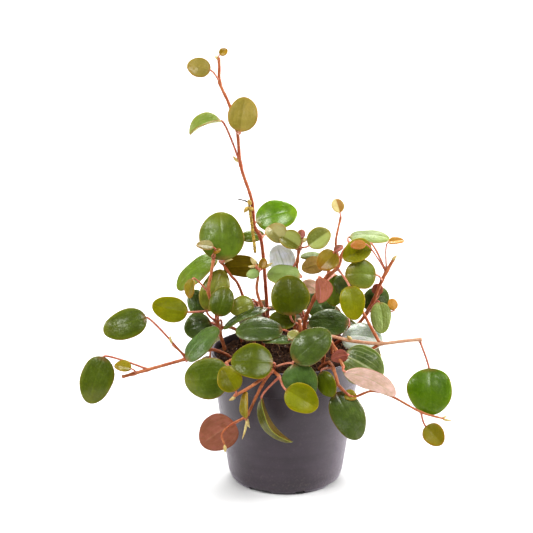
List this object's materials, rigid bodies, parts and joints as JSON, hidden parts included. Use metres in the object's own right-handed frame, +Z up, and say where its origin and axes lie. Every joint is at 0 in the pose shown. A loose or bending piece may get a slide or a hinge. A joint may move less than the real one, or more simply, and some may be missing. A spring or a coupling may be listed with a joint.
{
  "type": "potted peperomia",
  "caption": "Small potted house plant with round thick leaves on trailing and upright red stems, in a tapered plastic nursery pot filled with soil.",
  "frame": {"origin": "centre of the pot's underside, on the plane it stands on", "axes": "+Z up along the pot's axis, front of the plant towards -Y, the long trailing shoots reach along -X and +X"},
  "size_m": [0.2232, 0.1313, 0.2666],
  "materials": {
    "pot plastic": "satin",
    "potting soil": "matte",
    "foliage": "gloss",
    "flower spike": "matte"
  },
  "bodies": {
    "root": {"pot": "pot plastic", "soil": "potting soil", "shoot_tall": "foliage", "shoot_left_crown": "foliage", "shoot_left_upright": "foliage", "shoot_left_long": "foliage", "shoot_left_rim": "foliage", "shoot_front": "foliage", "shoot_centre_left": "foliage", "shoot_centre_back": "foliage", "shoot_centre": "foliage", "shoot_right_crown": "foliage", "shoot_right_tip": "foliage", "shoot_right_long": "foliage", "shoot_right_front": "foliage", "shoot_front_right": "foliage", "shoot_front_centre": "foliage", "shoot_right_low": "foliage", "shoot_back_standing_1": "foliage", "shoot_back_standing_2": "foliage", "shoot_back_hanging_1": "foliage", "shoot_back_hanging_2": "foliage", "shoot_back_hanging_3": "foliage", "shoot_back_hanging_4": "foliage", "flower_spike": "flower spike"}
  },
  "joints": []
}
